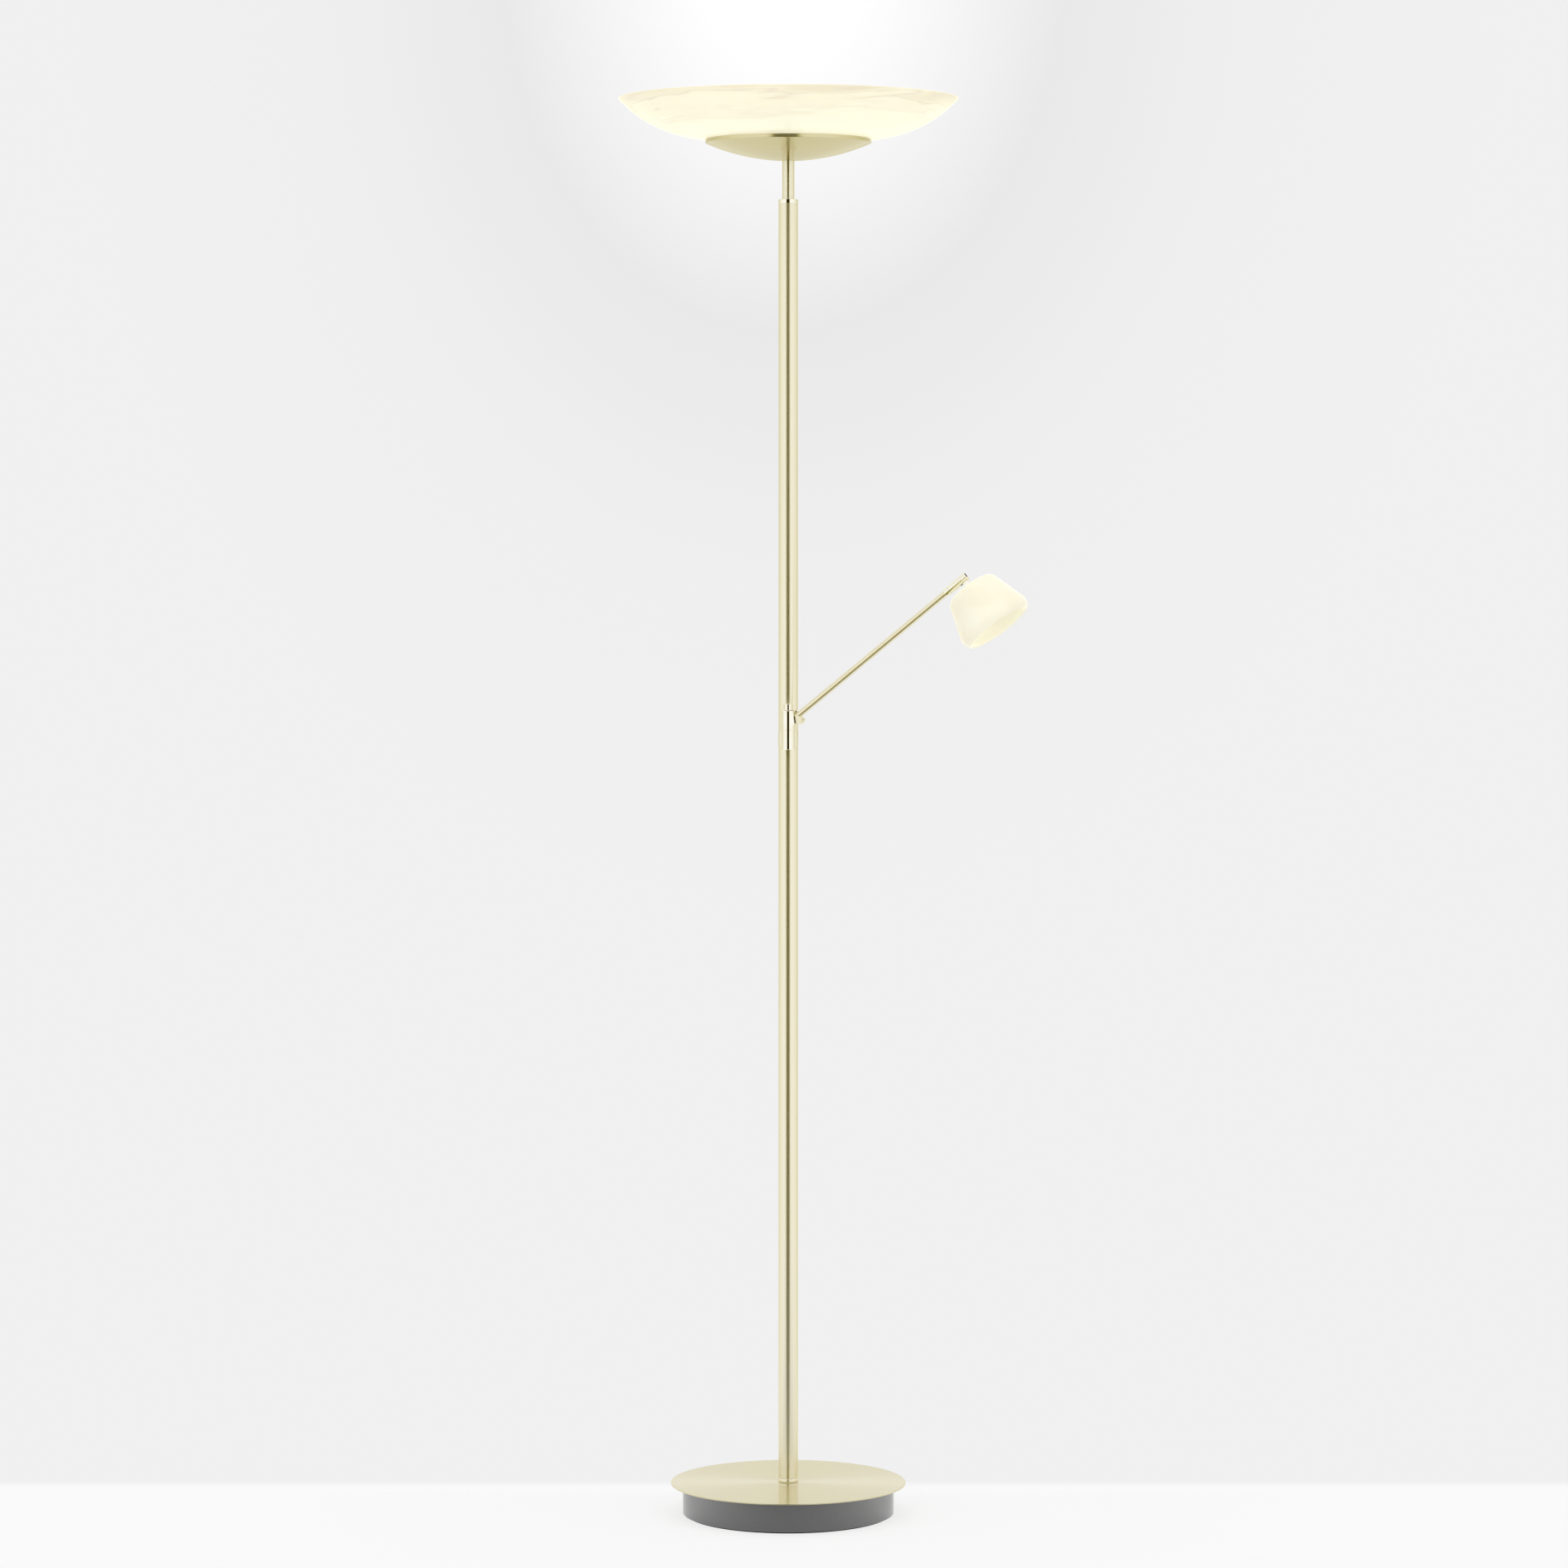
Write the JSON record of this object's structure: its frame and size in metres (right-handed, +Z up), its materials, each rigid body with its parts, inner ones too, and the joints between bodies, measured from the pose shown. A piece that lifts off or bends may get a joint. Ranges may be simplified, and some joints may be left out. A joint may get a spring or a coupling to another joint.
{
  "type": "torchiere floor lamp with reading light",
  "caption": "Torchiere floor lamp: a shallow opal glass bowl on a slim brass pole and round base, with a swivelling, tilting reading light on a thin arm.",
  "frame": {"origin": "on the floor, on the axis of the pole", "axes": "+Z up along the pole, the viewer of the picture on the -Y side, the reading arm to +X and towards the viewer"},
  "size_m": [0.5123, 0.43, 1.8003],
  "materials": {
    "satin_brass": "brushed satin, clear lacquer",
    "polished_brass": "polished, clear lacquer",
    "turned_brass": "as turned",
    "grey_lacquer": "dark grey, semi gloss",
    "black_felt": "matt felt",
    "zinc_steel": "zinc plated",
    "cast_iron_ballast": "raw casting",
    "black_plastic": "moulded, fine grain",
    "white_plastic": "moulded",
    "clear_silicone": "soft, translucent",
    "opal_glass": "glossy opal white with faint warm clouds",
    "bare_aluminium": "as turned",
    "white_board": "white solder mask",
    "opal_plastic": "frosted",
    "cable_sheath": "smooth sheath"
  },
  "bodies": {
    "stand": {"base_cover_disc": "satin_brass", "lower_pole_tube": "satin_brass", "middle_pole_tube": "satin_brass", "upper_pole_tube": "satin_brass", "top_pole_tube": "satin_brass", "uplight_dish": "satin_brass", "pole_foot_ring": "polished_brass", "pole_connector": "polished_brass", "pole_top_collar": "polished_brass", "uplight_stem": "polished_brass", "base_drum": "grey_lacquer", "foot_pad": "black_felt", "bottom_plate": "zinc_steel", "bottom_plate_screws": "zinc_steel", "driver_screws": "zinc_steel", "base_threaded_tube": "zinc_steel", "base_nut": "zinc_steel", "base_washer": "zinc_steel", "base_spacer": "zinc_steel", "swivel_spindle": "zinc_steel", "swivel_nut": "zinc_steel", "connector_grub_screw": "zinc_steel", "dish_washer": "zinc_steel", "dish_nut": "zinc_steel", "uplight_threaded_tube": "zinc_steel", "led_board_screws": "zinc_steel", "top_nut": "zinc_steel", "bowl_post": "zinc_steel", "pole_foot_plug": "turned_brass", "lower_pole_coupler": "turned_brass", "upper_pole_coupler": "turned_brass", "connector_coupler": "turned_brass", "pole_top_plug": "turned_brass", "ballast_weight": "cast_iron_ballast", "cable_gland": "black_plastic", "led_driver": "white_plastic", "bowl_seat_ring": "clear_silicone", "bowl_cushion_washer": "clear_silicone", "uplight_glass_bowl": "opal_glass", "uplight_heat_sink": "bare_aluminium", "uplight_led_board": "white_board", "uplight_diffuser": "opal_plastic", "pole_feed_cable": "cable_sheath"},
    "swivel": {"swivel_barrel": "polished_brass", "arm_hinge_pin": "polished_brass", "dimmer_unit": "black_plastic"},
    "knob": {"dimmer_knob": "polished_brass"},
    "arm": {"arm_knuckle": "polished_brass", "arm_tube": "satin_brass", "arm_end_ring": "polished_brass", "sleeve_retaining_clip": "zinc_steel"},
    "sleeve": {"head_sleeve": "polished_brass", "head_pin": "polished_brass"},
    "reading_head": {"shade_holder": "polished_brass", "reading_shade_glass": "opal_glass", "shade_ring_nut": "turned_brass", "reading_heat_sink": "bare_aluminium", "reading_led_board": "white_board", "reading_bezel": "white_plastic", "reading_lens": "opal_plastic"}
  },
  "joints": [
    {"name": "arm_swivel", "type": "hinge", "parent": "stand", "child": "swivel", "pos_m": [0, -0.0215, 1.004], "axis": [0, 0, 1], "range_deg": [-173, 37]},
    {"name": "dimmer_turn", "type": "hinge", "parent": "swivel", "child": "knob", "pos_m": [0, -0.0215, 1.004], "axis": [0, 0, 1], "range_deg": [-150, 150]},
    {"name": "arm_tilt", "type": "hinge", "parent": "swivel", "child": "arm", "pos_m": [0.01344, -0.02693, 1.0169], "axis": [-0.3746, -0.9272, 0], "range_deg": [-78, 38]},
    {"name": "head_twist", "type": "hinge", "parent": "arm", "child": "sleeve", "pos_m": [0.21768, -0.10945, 1.19623], "axis": [0.7292, -0.2946, 0.6176], "range_deg": [-90, 90]},
    {"name": "head_tilt", "type": "hinge", "parent": "sleeve", "child": "reading_head", "pos_m": [0.21768, -0.10945, 1.19623], "axis": [-0.3746, -0.9272, 0], "range_deg": [-15, 80]}
  ]
}
